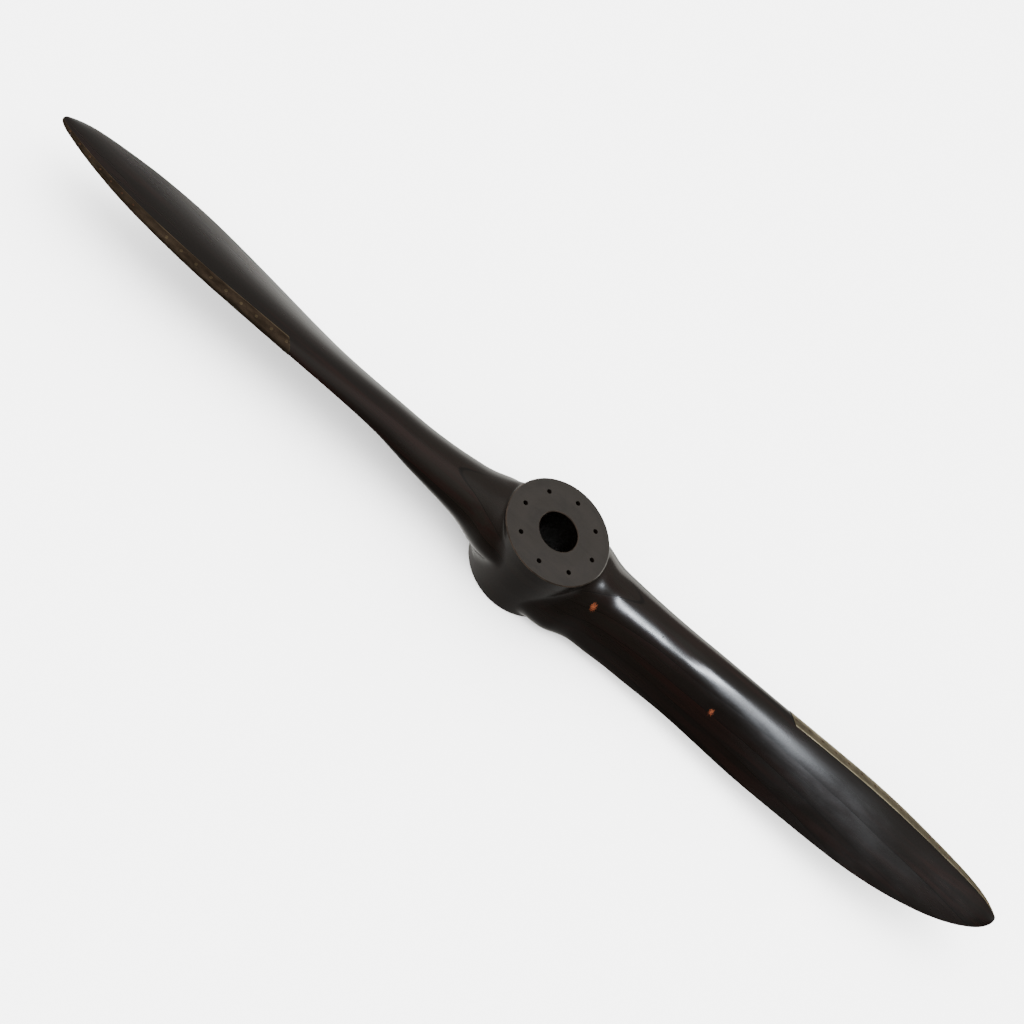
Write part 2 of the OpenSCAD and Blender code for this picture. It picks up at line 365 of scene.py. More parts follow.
def wood_skin():
    """The carved body's closed skin, from tip to tip, as vertices and faces."""
    margin = 2 * GRID_STEP
    far = np.ceil(np.array([JOIN_X, HUB_R + margin + 0.004]) / GRID_STEP) * GRID_STEP
    xs = np.arange(-far[0], far[0] + GRID_STEP / 2, GRID_STEP)
    ys = np.arange(-far[1], far[1] + GRID_STEP / 2, GRID_STEP)
    zs = np.arange(-margin, HUB_TOP + margin + GRID_STEP / 2, GRID_STEP)
    half = xs[xs > -GRID_STEP / 2]
    plane = np.stack(np.meshgrid(ys, zs, indexing="ij"), -1).reshape(-1, 2)
    slices = []
    for x in half:
        guess, inside = nearest_u(quick_stations(np.array([max(x, ROOT_X)])), plane)
        points = np.column_stack([np.full(len(plane), x), plane])
        slices.append(body_field(points, guess, inside)[0].reshape(len(ys), len(zs)))
    values = np.stack(slices)
    values = np.concatenate([values[:0:-1, ::-1], values])
    for edge in (0, -1):
        values[:, :, edge] = np.abs(values[:, :, edge]) + GRID_STEP / 2
    low = np.array([xs[0], ys[0], zs[0]])
    verts, quads = surface_nets(values, low, GRID_STEP)
    moving = (verts[:, 2] > zs[1]) & (verts[:, 2] < zs[-2])
    points = verts[moving]
    turned, _ = on_blade_a(points)
    u, _ = nearest_u(quick_stations(np.maximum(turned[:, 0], ROOT_X)), turned[:, 1:])
    for _ in range(SETTLE_STEPS):
        values, u = body_field(points, u)
        slope = field_slope(points, u)
        push = values / np.maximum((slope ** 2).sum(-1), 0.2)
        points = points - np.clip(push, -GRID_STEP, GRID_STEP)[:, None] * slope
    verts[moving] = points
    faces = quads.tolist()
    loops = boundary_loops(faces)
    places = blade_stations()
    u = np.arange(RING_POINTS) * 2 / RING_POINTS
    rings = outline(stations(places)[:, None], u[None, :])
    rings = np.concatenate([np.broadcast_to(places[:, None, None], (*rings.shape[:2], 1)), rings], -1)
    for side in (1, -1):
        first = len(verts)
        verts = np.concatenate([verts, (rings * (side, side, 1)).reshape(-1, 3)])
        at = first + np.arange(len(places) * RING_POINTS).reshape(len(places), RING_POINTS)
        turned = np.roll(at, -1, axis=1)
        faces += np.stack([at[:-1], at[1:], turned[1:], turned[:-1]], -1).reshape(-1, 4).tolist()
        faces.append(at[-1].tolist())
        loop = next(l for l in loops if verts[l[0]][0] * side > 0)
        ring = at[0]
        if signed_turn(verts[loop]) * signed_turn(verts[ring]) < 0:
            ring = ring[::-1]
        faces += zip_loops(verts, np.array(loop), ring)
    return verts, faces


def signed_turn(points):
    """Which way a loop runs about the X axis."""
    y, z = points[:, 1], points[:, 2]
    return np.sum(y * np.roll(z, -1) - z * np.roll(y, -1))


# ---------------------------------------------------------------- mesh helpers
def new_object(name, verts, faces, material=None):
    mesh = bpy.data.meshes.new(name)
    mesh.from_pydata([tuple(v) for v in verts], [], [tuple(f) for f in faces])
    mesh.update()
    obj = bpy.data.objects.new(name, mesh)
    bpy.context.scene.collection.objects.link(obj)
    if material:
        mesh.materials.append(material)
    return obj


def face_outwards(obj):
    bm = bmesh.new()
    bm.from_mesh(obj.data)
    bmesh.ops.recalc_face_normals(bm, faces=bm.faces)
    bm.to_mesh(obj.data)
    bm.free()
    return obj


def revolved(name, profile, count):
    """Closed solid from a profile of (radius, height) points, from the axis to the axis."""
    inner = [p for p in profile if p[0] > 0]
    angles = np.arange(count) * 2 * math.pi / count
    verts = [(r * math.cos(a), r * math.sin(a), z) for r, z in inner for a in angles]
    faces = []
    for j in range(len(inner) - 1):
        for i in range(count):
            k = (i + 1) % count
            faces.append((j * count + i, j * count + k, (j + 1) * count + k, (j + 1) * count + i))
    faces.append(tuple(range(count))[::-1])
    faces.append(tuple(range((len(inner) - 1) * count, len(inner) * count)))
    return face_outwards(new_object(name, verts, faces))


def slab_solid(name, low, high, sectors=16):
    """A wide flat prism about the Z axis. Its faces meet at the bolt holes' centres, so that no face
    is left with a hole inside it."""
    rings = [BOLT_CIRCLE_R, 2 * RADIUS]
    verts, faces = [], []
    for z in (low, high):
        verts.append((0, 0, z))
        verts += [(r * math.cos(a), r * math.sin(a), z)
                  for r in rings for a in np.arange(sectors) * 2 * math.pi / sectors]
    top = 1 + 2 * sectors
    for i in range(sectors):
        k = (i + 1) % sectors
        for base in (0, top):
            faces.append((base, base + 1 + i, base + 1 + k))
            faces.append((base + 1 + i, base + 1 + sectors + i, base + 1 + sectors + k, base + 1 + k))
        outer = (1 + sectors + i, 1 + sectors + k)
        faces.append((*outer, outer[1] + top, outer[0] + top))
    return face_outwards(new_object(name, verts, faces))


def box_solid(name, low, high):
    corners = [(x, y, z) for x in (low[0], high[0]) for y in (low[1], high[1]) for z in (low[2], high[2])]
    faces = [(0, 1, 3, 2), (4, 6, 7, 5), (0, 4, 5, 1), (2, 3, 7, 6), (0, 2, 6, 4), (1, 5, 7, 3)]
    return face_outwards(new_object(name, corners, faces))


def joined(name, parts):
    """One mesh object from several, which are then removed."""
    verts, faces = [], []
    for part in parts:
        first = len(verts)
        verts += [v.co[:] for v in part.data.vertices]
        faces += [[first + i for i in p.vertices] for p in part.data.polygons]
        bpy.data.objects.remove(part)
    return new_object(name, verts, faces)


def cut(obj, tool, operation, name=None):
    """A new object: obj cut by tool."""
    modifier = obj.modifiers.new("cut", "BOOLEAN")
    modifier.operation = operation
    modifier.object = tool
    modifier.solver = "MANIFOLD"
    graph = bpy.context.evaluated_depsgraph_get()
    mesh = bpy.data.meshes.new_from_object(obj.evaluated_get(graph))
    obj.modifiers.remove(modifier)
    result = bpy.data.objects.new(name or obj.name, mesh)
    bpy.context.scene.collection.objects.link(result)
    return result


def coordinates(mesh):
    co = np.empty(len(mesh.vertices) * 3)
    mesh.vertices.foreach_get("co", co)
    return co.reshape(-1, 3)


# ---------------------------------------------------------------- boards
BORE_CHAMFER = 0.0015
HOLE_CHAMFER = 0.0007
RIM_CHAMFER = 0.002
BORE_SIDES = 160
HOLE_SIDES = 40
SKIN_GAP = 2e-5          # a vertex nearer to the carved skin than this lies on it
LEVEL = 1e-7             # heights closer than this are the same


def hole_tool(radius, chamfer, centre, count):
    """A cutter through the whole hub with a chamfer at each hub face."""
    past = 0.01
    wide = radius + chamfer + past
    profile = [(wide, -past), (radius, chamfer), (radius, HUB_TOP - chamfer), (wide, HUB_TOP + past)]
    tool = revolved("hole_tool", profile, count)
    tool.data.transform(Matrix.Translation(centre))
    return tool


def hub_holes():
    tools = [hole_tool(BORE_R, BORE_CHAMFER, (0, 0, 0), BORE_SIDES)]
    for i in range(BOLT_COUNT):
        a = 2 * math.pi * i / BOLT_COUNT
        centre = (BOLT_CIRCLE_R * math.cos(a), BOLT_CIRCLE_R * math.sin(a), 0)
        tools.append(hole_tool(BOLT_HOLE_R, HOLE_CHAMFER, centre, HOLE_SIDES))
    return joined("hub_holes", tools)


def skin_normals(obj, skin_tree, skin_mesh):
    """The board's vertices, which of them lie on the carved skin, and the whole skin's normals there."""
    co = coordinates(obj.data)
    normals = np.array([n.vector[:] for n in skin_mesh.vertex_normals])
    on_skin = np.zeros(len(co), bool)
    smooth = np.zeros_like(co)
    for i, point in enumerate(co):
        _, _, face, gap = skin_tree.find_nearest(Vector(point))
        if gap < SKIN_GAP:
            on_skin[i] = True
            corners = skin_mesh.polygons[face].vertices
            weights = [1 / (1e-7 + (Vector(point) - skin_mesh.vertices[v].co).length) for v in corners]
            smooth[i] = sum(w * normals[v] for w, v in zip(weights, corners)) / sum(weights)
    smooth /= np.maximum(np.linalg.norm(smooth, axis=1, keepdims=True), 1e-9)
    return co, on_skin, smooth


def finish_board(obj, skin_tree, skin_mesh):
    """Chamfers the hub's rims, and gives the board's carved side the whole skin's normals."""
    bm = bmesh.new()
    bm.from_mesh(obj.data)
    top = max(v.co.z for v in bm.verts)
    bottom = min(v.co.z for v in bm.verts)
    rims = []
    if abs(top - HUB_TOP) < 1e-5:
        rims.append((HUB_TOP - RIM_CHAMFER, 1))
    if abs(bottom) < 1e-5:
        rims.append((RIM_CHAMFER, -1))
    for height, _ in rims:
        everything = bm.verts[:] + bm.edges[:] + bm.faces[:]
        bmesh.ops.bisect_plane(bm, geom=everything, plane_co=(0, 0, height), plane_no=(0, 0, 1), dist=LEVEL)
    bm.to_mesh(obj.data)
    bm.free()
    mesh = obj.data
    co, on_skin, smooth = skin_normals(obj, skin_tree, skin_mesh)
    flat = np.hypot(smooth[:, 0], smooth[:, 1])
    lean = np.zeros(len(co))
    for height, way in rims:
        above = np.clip((co[:, 2] - height) * way, 0, RIM_CHAMFER)
        share = smoothstep(0.6, 0.9, flat) * on_skin
        co[:, :2] -= smooth[:, :2] * (above * share)[:, None]
        lean += way * share * ((co[:, 2] - height) * way > -LEVEL)
    mesh.vertices.foreach_set("co", co.ravel())
    mesh.update()
    corner_normals = np.zeros((len(mesh.loops), 3))
    for face in mesh.polygons:
        ids = list(face.vertices)
        sides = all(on_skin[i] for i in ids) and abs(face.normal.z) < 0.9999
        if not sides:
            from_axis = face.center.xy.length
            in_bore = abs(from_axis - BORE_R) < 2e-3 and abs(face.normal.z) < 0.3
            for loop, i in zip(face.loop_indices, ids):
                corner_normals[loop] = [-co[i, 0], -co[i, 1], 0] if in_bore else face.normal
            continue
        on_rim = any(all((co[i, 2] - height) * way > -LEVEL for i in ids) for height, way in rims)
        for loop, i in zip(face.loop_indices, ids):
            corner_normals[loop] = smooth[i] + (np.array([0, 0, lean[i]]) if on_rim else 0)
    corner_normals /= np.maximum(np.linalg.norm(corner_normals, axis=1, keepdims=True), 1e-9)
    mesh.polygons.foreach_set("use_smooth", [True] * len(mesh.polygons))
    mesh.normals_split_custom_set(corner_normals.tolist())


def carved_boards(fastener_tools):
    """The seven boards by name, cut from one carved and drilled skin."""
    verts, faces = wood_skin()
    skin = face_outwards(new_object("skin", verts, faces))
    skin.data.polygons.foreach_set("use_smooth", [True] * len(skin.data.polygons))
    corners = [v.co for v in skin.data.vertices]
    tree = BVHTree.FromPolygons(corners, [p.vertices for p in skin.data.polygons])
    holes = hub_holes()
    drilled = cut(skin, holes, "DIFFERENCE", "drilled")
    boards = {}
    for name in BOARDS:
        low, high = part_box(name)
        slab = slab_solid("slab", low.z, high.z)
        piece = cut(drilled, slab, "INTERSECT", name + "_carved")
        bpy.data.objects.remove(slab)
        if name == "board_5":
            whole = piece
            piece = cut(whole, fastener_tools, "DIFFERENCE", "board_5_bored")
            bpy.data.objects.remove(whole)
        finish_board(piece, tree, skin.data)
        boards[name] = piece
    for spare in (skin, holes, drilled):
        bpy.data.objects.remove(spare)
    return boards


# ---------------------------------------------------------------- sheaths, screws and rivets
SHEATH_START = 0.505 * RADIUS
SHEATH_T = 0.0008
FIT_GAP = 0.00005
FLAP_S = 0.109           # reach of each flap across the blade, as a fraction of its chord
FLAP_U = 2 / math.pi * math.asin(math.sqrt(FLAP_S))
SLANT = 0.022            # how much further out the corners of the flaps start
SHEATH_ROWS = 420
DENT = 0.00009
END_CLEARANCE = 0.0002
FASTENER_S = 0.05        # place of the fasteners across the blade, as a fraction of its chord
FASTENER_U = 2 / math.pi * math.asin(math.sqrt(FASTENER_S))
SCREWS_PER_FACE = 9
SCREWS_FROM, SCREWS_TO = 0.52 * RADIUS, 0.79 * RADIUS
RIVETS = 7
RIVETS_FROM, RIVETS_TO = 0.83 * RADIUS, 0.975 * RADIUS
SCREW = {"head_r": 0.00325, "head_h": 0.0016, "shank_r": 0.0015, "length": 0.0065, "dome": 0.00012}
RIVET = {"head_r": 0.0025, "head_h": 0.0012, "shank_r": 0.00125, "length": 0.0042, "dome": 0.0004}
FASTENER_SIDES = 40
CROWN_ANGLES = (0.6, 0.85, 1.1, 1.35, 1.5)
SLOT_W, SLOT_DEPTH = 0.0009, 0.0007
GOLDEN_ANGLE = math.pi * (3 - math.sqrt(5))


def sheath_columns():
    """Places across the sheath, from -1 at the front flap's edge to 1 at the rear flap's, and the
    share of the brass's thickness there: the edges are filed round."""
    inner = np.linspace(-0.95, 0.95, 40)
    edge = np.array([1.0, 0.994, 0.985, 0.972])
    across = np.concatenate([-edge, inner, edge[::-1]])
    share = np.concatenate([[0.3, 0.75, 0.97, 1.12], np.ones(40), [1.12, 0.97, 0.75, 0.3]])
    return across, share


def sheath_shell(name):
    """One folded sheet of brass on blade A's leading edge, slightly dented. Its attribute wear says
    where the patina is rubbed off: at the flaps' edges, at the start and along the fold."""
    across, share = sheath_columns()
    end = TIP_X - END_CLEARANCE
    along = np.linspace(0, 1, SHEATH_ROWS)[:, None]
    along = np.sin(along * math.pi / 2) * 0.6 + along * 0.4
    start = SHEATH_START + SLANT * across[None, :] ** 2
    x = start + (end - start) * along
    u = 1 + across[None, :] * FLAP_U + 0 * x
    station = stations(x)
    skin = outline(station, u)
    normal = outward(station, u)
    waves = (np.sin(x * 260 + 3 * np.sin(x * 37)) * np.cos(across * 5 + x * 90)
             + 0.6 * np.sin(x * 510 + across * 11) + 0.5 * np.sin(x * 121 - across * 7))
    dents = DENT * waves * np.clip(1 - across ** 8, 0, 1)
    outer = skin + normal * (FIT_GAP + SHEATH_T * share + dents)[..., None]
    inner = skin + normal * FIT_GAP
    columns = len(across)
    loop = np.concatenate([outer, inner[:, ::-1]], axis=1)
    loop_x = np.concatenate([x, x[:, ::-1]], axis=1)
    verts = np.concatenate([loop_x[..., None], loop], -1).reshape(-1, 3)
    at = np.arange(len(verts)).reshape(SHEATH_ROWS, 2 * columns)
    turned = np.roll(at, -1, axis=1)
    faces = np.stack([at[:-1], at[1:], turned[1:], turned[:-1]], -1).reshape(-1, 4).tolist()
    for row in (at[0], at[-1]):
        faces += [[row[k], row[k + 1], row[-k - 2], row[-k - 1]] for k in range(columns - 1)]
    shell = new_object(name, verts, faces)
    worn = np.clip((np.abs(across) - 0.93) / 0.03, 0, 1) + 0.35 * np.exp(-(across / 0.16) ** 2)
    worn = np.concatenate([worn, 0 * worn])
    near_start = np.exp(-np.abs(loop_x - np.concatenate([start, start[:, ::-1]], 1)) / 0.0025)
    wear = np.clip(worn[None, :] + near_start, 0, 1)
    shell.data.attributes.new("wear", "FLOAT", "POINT").data.foreach_set("value", wear.ravel())
    return face_outwards(shell)


def fastener_places(first, step, count, u):
    """Matrices with their origin on the brass and Z along its outward normal."""
    places = []
    for i in range(count):
        x = first + step * i
        station = stations(np.array([x]))
        p, n = outline(station, np.array([u]))[0], outward(station, np.array([u]))[0]
        y, z = p + n * (FIT_GAP + SHEATH_T)
        turn = Matrix(((1, 0, 0), (0, n[1], n[0]), (0, -n[0], n[1]))).to_4x4()
        places.append(Matrix.Translation((x, y, z)) @ turn)
    return places


def screw_places():
    step = (SCREWS_TO - SCREWS_FROM) / SCREWS_PER_FACE
    front = fastener_places(SCREWS_FROM, step, SCREWS_PER_FACE, 1 - FASTENER_U)
    return front + fastener_places(SCREWS_FROM + step / 2, step, SCREWS_PER_FACE, 1 + FASTENER_U)


def rivet_places():
    step = (RIVETS_TO - RIVETS_FROM) / (RIVETS - 1)
    return fastener_places(RIVETS_FROM, step, RIVETS, 1 - FASTENER_U)


def fastener(sizes, slotted):
    """A screw or rivet with its head's top at height 0, crowned a little."""
    r, h, s = sizes["head_r"], sizes["head_h"], sizes["shank_r"]
    rim = [(r, -h), (r, -0.00012), (0.94 * r, 0)]
    crown = [(r * math.cos(a), sizes["dome"] * math.sin(a)) for a in CROWN_ANGLES]
    profile = [(0.6 * s, -sizes["length"]), (s, -sizes["length"] + 0.001), (s, -h)] + rim + crown
    solid = revolved("fastener", profile, FASTENER_SIDES)
    if slotted:
        groove = box_solid("groove", (-r * 2, -SLOT_W / 2, -SLOT_DEPTH), (r * 2, SLOT_W / 2, 0.002))
        plain = solid
        solid = cut(plain, groove, "DIFFERENCE", "slotted")
        bpy.data.objects.remove(groove)
        bpy.data.objects.remove(plain)
    return solid


def hole_cutter(sizes):
    """A cutter for the hole that a fastener sits in, open at the top."""
    r, h, s = sizes["head_r"] + FIT_GAP, sizes["head_h"] + FIT_GAP, sizes["shank_r"] + FIT_GAP
    profile = [(s, -sizes["length"] - FIT_GAP), (s, -h), (r, -h), (r, 0.004)]
    return revolved("hole", profile, FASTENER_SIDES)


def placed_copies(name, source, places, turning=False):
    """Copies of source at each place, as one object, each turned differently about its axis if asked."""
    parts = []
    for i, place in enumerate(places):
        part = bpy.data.objects.new("copy", source.data.copy())
        spin = Matrix.Rotation(GOLDEN_ANGLE * i, 4, "Z") if turning else Matrix.Identity(4)
        part.data.transform(place @ spin)
        parts.append(part)
    bpy.data.objects.remove(source)
    return joined(name, parts)


def turned_copy(obj, name):
    """The same piece on blade B."""
    copy = bpy.data.objects.new(name, obj.data.copy())
    copy.data.transform(Matrix.Rotation(math.pi, 4, "Z"))
    bpy.context.scene.collection.objects.link(copy)
    return copy


def smooth_with_edges(obj, degrees=32):
    obj.data.polygons.foreach_set("use_smooth", [True] * len(obj.data.polygons))
    obj.data.set_sharp_from_angle(angle=math.radians(degrees))
    return obj


# ---------------------------------------------------------------- materials
class Paint:
    def __init__(self, name, **constants):
        self.material = bpy.data.materials.new(name)
        self.material.use_nodes = True
        self.tree = self.material.node_tree
        self.shader = self.tree.nodes["Principled BSDF"]
        for socket, value in constants.items():
            self.shader.inputs[socket.replace("_", " ")].default_value = value
        self.place = self.node("ShaderNodeTexCoord").outputs["Object"]
        parts = self.node("ShaderNodeSeparateXYZ", Vector=self.place)
        self.x, self.y, self.z = parts.outputs

    def node(self, kind, settings=None, **inputs):
        made = self.tree.nodes.new(kind)
        for key, value in (settings or {}).items():
            setattr(made, key, value)
        for key, value in inputs.items():
            self.put(made.inputs[key.replace("_", " ")], value)
        return made

    def put(self, socket, value):
        if isinstance(value, bpy.types.NodeSocket):
            self.tree.links.new(value, socket)
        else:
            socket.default_value = value

    def math(self, operation, a, b=0.0, c=0.0):
        made = self.node("ShaderNodeMath", {"operation": operation})
        for socket, value in zip(made.inputs, (a, b, c)):
            self.put(socket, value)
        return made.outputs[0]

    def noise(self, scale, stretch=(1, 1, 1), detail=4.0, roughness=0.55, offset=(0, 0, 0)):
        mapped = self.node("ShaderNodeMapping", Vector=self.place, Scale=stretch, Location=offset)
        return self.node("ShaderNodeTexNoise", Vector=mapped.outputs[0], Scale=scale, Detail=detail,
                         Roughness=roughness).outputs[0]

    def spread(self, value, low, high, to_low=0.0, to_high=1.0):
        """to_low where value is at low, to_high where it is at high, and a smooth change between."""
        made = self.node("ShaderNodeMapRange", {"interpolation_type": "SMOOTHSTEP"}, Value=value)
        for key, number in zip(("From Min", "From Max", "To Min", "To Max"), (low, high, to_low, to_high)):
            made.inputs[key].default_value = number
        return made.outputs[0]

    def mix(self, share, a, b):
        """Colour a where share is 0, and b where it is 1."""
        made = self.node("ShaderNodeMix", {"data_type": "RGBA"})
        self.put(made.inputs[0], share)
        for socket, value in ((made.inputs[6], a), (made.inputs[7], b)):
            self.put(socket, value if isinstance(value, bpy.types.NodeSocket) else (*value, 1))
        return made.outputs[2]

    def bump(self, *layers):
        """Layers of (height, depth in metres), one on another."""
        normal = None
        for height, depth in layers:
            made = self.node("ShaderNodeBump", Height=height, Distance=depth, Strength=1.0)
            if normal:
                self.tree.links.new(normal, made.inputs["Normal"])
            normal = made.outputs[0]
        self.tree.links.new(normal, self.shader.inputs["Normal"])

    def finish(self, colour, roughness):
        self.put(self.shader.inputs["Base Color"], colour)
        self.put(self.shader.inputs["Roughness"], roughness)
        return self.material


VARNISH_DEEP = (0.0105, 0.0078, 0.0062)
VARNISH_RED = (0.025, 0.0110, 0.0088)
VARNISH_THIN = (0.026, 0.0195, 0.0150)
HUB_FACE = (0.050, 0.043, 0.037)
HUB_STAIN = (0.028, 0.024, 0.021)
BARE_WOOD = (0.62, 0.15, 0.04)
BARE_SHADE = (0.20, 0.035, 0.012)
# Lighter colour of the rim chamfers: worn varnish and a painted highlight along the hub's and the bore's
# rims
EDGE_WEAR_AND_HIGHLIGHT = (0.085, 0.062, 0.048)
HUB_PALE = (0.062, 0.053, 0.046)
# Near black of the bore's wall: darker end grain and painted shade inside the bore
BORE_GRAIN_AND_SHADE = (0.007, 0.005, 0.0038)
GLUE_LINE = (0.004, 0.003, 0.0025)
# Near black painted as the shade inside a small pit
PIT_SHADE = (0.002, 0.0018, 0.0016)
# Two chips and a pit in the varnish, the pit painted near black as painted shade: x, y, radius and the two
# colours
CHIPS = [(0.150, -0.052, 0.0064, BARE_WOOD, BARE_SHADE), (0.478, -0.0405, 0.0052, BARE_WOOD, BARE_SHADE),
         (0.302, -0.0027, 0.0022, PIT_SHADE, PIT_SHADE)]
CHIP_FROM_Z = (0.075, 0.085)   # they set in between these heights, so none is on the rear


def varnished_wood(name, tone, shift, low, high, cheek):
    """Dark glossy varnish over mahogany, with the grain running along the blades, for a board from low
    to high. A hub cheek also gets its duller round face and lighter rims: rubbed wear plus a painted
    highlight."""
    p = Paint(name, Specular_IOR_Level=0.45)
    grain = p.noise(55, (0.05, 1, 1), 6, 0.6, (shift, shift, 0))
    fibres = p.noise(420, (0.02, 1, 1), 3, 0.5, (0, shift, 0))
    clouds = p.noise(5, (0.5, 1.4, 1.4), 3, 0.5, (shift, 0, 0))
    red = p.math("MULTIPLY", p.spread(grain, 0.42, 0.66), p.spread(clouds, 0.35, 0.7, 0.35, 1.0))
    reach = p.math("ABSOLUTE", p.x)
    thin = p.math("MULTIPLY", p.spread(reach, 0.1, 0.55, 0.75, 0.05), p.spread(clouds, 0.3, 0.7, 0.5, 1.0))
    colour = p.mix(thin, VARNISH_DEEP, VARNISH_THIN)
    colour = p.mix(p.math("MULTIPLY", red, tone), colour, VARNISH_RED)
    colour = p.mix(p.spread(fibres, 0.5, 0.72, 0, 0.35), colour, VARNISH_DEEP)
    seam = p.math("MINIMUM", p.math("ABSOLUTE", p.math("SUBTRACT", p.z, low)),
                  p.math("ABSOLUTE", p.math("SUBTRACT", p.z, high)))
    colour = p.mix(p.spread(seam, 0.0002, 0.0006, 0.8, 0), colour, GLUE_LINE)
    chipped = 0.0
    for x, y, size, bare, shade in CHIPS:
        dx, dy = p.math("SUBTRACT", p.x, x), p.math("SUBTRACT", p.y, y)
        apart = p.math("SQRT", p.math("ADD", p.math("MULTIPLY", dx, dx), p.math("MULTIPLY", dy, dy)))
        ragged = p.math("ADD", apart, p.spread(p.noise(700), 0.3, 0.7, -size / 2, size / 2))
        front = p.spread(p.z, *CHIP_FROM_Z)
        chip = p.math("MULTIPLY", p.spread(ragged, size * 0.7, size, 1, 0), front)
        colour = p.mix(chip, colour, p.mix(p.spread(p.noise(420), 0.4, 0.62), bare, shade))
        chipped = p.math("MAXIMUM", chipped, chip)
    worn = p.spread(reach, 0.4, 0.75, 0, 1)
    haze = p.noise(14, (0.35, 1, 1), 5, 0.6, (0, 0, shift))
    rough = p.math("ADD", p.math("MULTIPLY", worn, 0.05), p.spread(haze, 0.3, 0.75, 0.15, 0.27))
    r = p.math("SQRT", p.math("ADD", p.math("MULTIPLY", p.x, p.x), p.math("MULTIPLY", p.y, p.y)))
    # The bore's wall is painted near black: darker end grain and painted shade inside the bore.
    in_bore = p.spread(r, BORE_R + 0.0006, BORE_R + 0.0012, 1, 0)
    colour = p.mix(in_bore, colour, BORE_GRAIN_AND_SHADE)
    rough = p.math("MAXIMUM", rough, p.math("MULTIPLY", in_bore, 0.32))
    rough = p.math("MAXIMUM", rough, p.math("MULTIPLY", chipped, 0.6))
    if cheek:
        outer = high if high > HUB_TOP / 2 else low
        to_face = p.math("ABSOLUTE", p.math("SUBTRACT", p.z, outer))
        on_face = p.spread(to_face, 0.0001, 0.0004, 1, 0)
        on_disc = p.math("MULTIPLY", on_face, p.spread(r, HUB_R - 0.0002, HUB_R + 0.0006, 1, 0))
        on_disc = p.math("MULTIPLY", on_disc, p.math("SUBTRACT", 1.0, in_bore))
        stains = p.noise(26, (1, 1, 1), 6, 0.62)
        face = p.mix(p.spread(stains, 0.45, 0.75, 0, 0.55), HUB_FACE, HUB_STAIN)
        face = p.mix(p.spread(grain, 0.45, 0.7, 0, 0.35), face, HUB_STAIN)
        rim = p.spread(p.math("ABSOLUTE", p.math("SUBTRACT", r, BOLT_CIRCLE_R)), 0.006, 0.02, 0.28, 0)
        face = p.mix(rim, face, HUB_PALE)
        colour = p.mix(on_disc, colour, face)
        # The chamfers at the hub's rim and the bore's rim are painted lighter: partly rubbed wear, partly a
        # painted highlight of the edges.
        near_face = p.spread(to_face, RIM_CHAMFER, RIM_CHAMFER + 0.0006, 1, 0)
        near_rim = p.math("ADD", p.spread(r, HUB_R - RIM_CHAMFER - 0.0004, HUB_R - RIM_CHAMFER + 0.0002),
                          p.spread(r, BORE_R + BORE_CHAMFER, BORE_R + BORE_CHAMFER + 0.0005, 1, 0))
        rubbed = p.math("MULTIPLY", near_face, near_rim)
        rubbed = p.math("MULTIPLY", rubbed, p.spread(stains, 0.35, 0.6, 0.25, 1))
        colour = p.mix(rubbed, colour, EDGE_WEAR_AND_HIGHLIGHT)
        satin = p.spread(stains, 0.3, 0.7, 0.34, 0.48)
        rough = p.math("ADD", p.math("MULTIPLY", rough, p.math("SUBTRACT", 1.0, on_disc)),
                       p.math("MULTIPLY", satin, on_disc))
    p.bump((fibres, 0.00002), (p.noise(30, (0.2, 1, 1), 2), 0.00025), (p.noise(160, (1, 1, 1), 2), 0.00003))
    return p.finish(colour, rough)


def tarnished_brass(name, clean, dull, rough, worn=0.0):
    """Brass under a dark patina. Where the mesh says so, or all over by worn, the patina is rubbed off."""
    p = Paint(name, Metallic=1.0)
    clouds = p.noise(60, (0.4, 1, 1), 6, 0.65)
    spots = p.noise(320, (1, 1, 1), 3, 0.6)
    wipes = p.noise(240, (0.06, 1, 1), 4, 0.6)
    wear = p.node("ShaderNodeAttribute", {"attribute_name": "wear"}).outputs["Fac"]
    wiped = p.spread(wipes, 0.35, 0.75, worn - 0.35, worn + 0.30)
    rubbed = p.math("ADD", p.math("MULTIPLY", wear, 0.75), wiped)
    colour = p.mix(p.spread(clouds, 0.35, 0.68), dull, tuple(c * 0.55 for c in dull))
    colour = p.mix(p.spread(rubbed, 0.15, 0.95), colour, clean)
    colour = p.mix(p.spread(spots, 0.58, 0.72, 0, 0.6), colour, tuple(c * 0.35 for c in dull))
    uneven = p.spread(wipes, 0.3, 0.7, -0.05, 0.05)
    finish = p.math("ADD", p.spread(clouds, 0.3, 0.7, rough, rough + 0.16), uneven)
    p.bump((p.noise(90, (0.5, 1, 1), 3), 0.00035), (wipes, 0.00003), (spots, 0.00004))
    return p.finish(colour, finish)


def floor_paint():
    p = Paint("pale_floor", Specular_IOR_Level=0.1)
    mottle = p.noise(3, (1, 1, 1), 4)
    return p.finish(p.mix(mottle, (0.93, 0.93, 0.93), (0.95, 0.95, 0.95)), 0.9)


# ---------------------------------------------------------------- stage, light and camera
CAMERA_PLACE = Vector((-0.3979, -1.7318, 2.3018))
CAMERA_FORWARD = Vector((0.109487, 0.616872, -0.779411))
CAMERA_UP = Vector((-0.649310, 0.638088, 0.413810))
LENS, FILM_WIDTH = 50, 36
WHITE = (1, 1, 1)
FLOOR_R, BEND_R, WALL_TOP = 6, 3, 9
ROUND = 96               # sides of the round floor
FLOOR_GAP = 0.0005
ROOM_COLOUR = (1.0, 0.98, 0.93)
ROOM_AXIS = (-0.5, 0.866, 0)          # towards the bright side
ROOM_SIDES = (-0.9, 0.5, 0.15, 1.0)   # two places along that axis, and the light at each
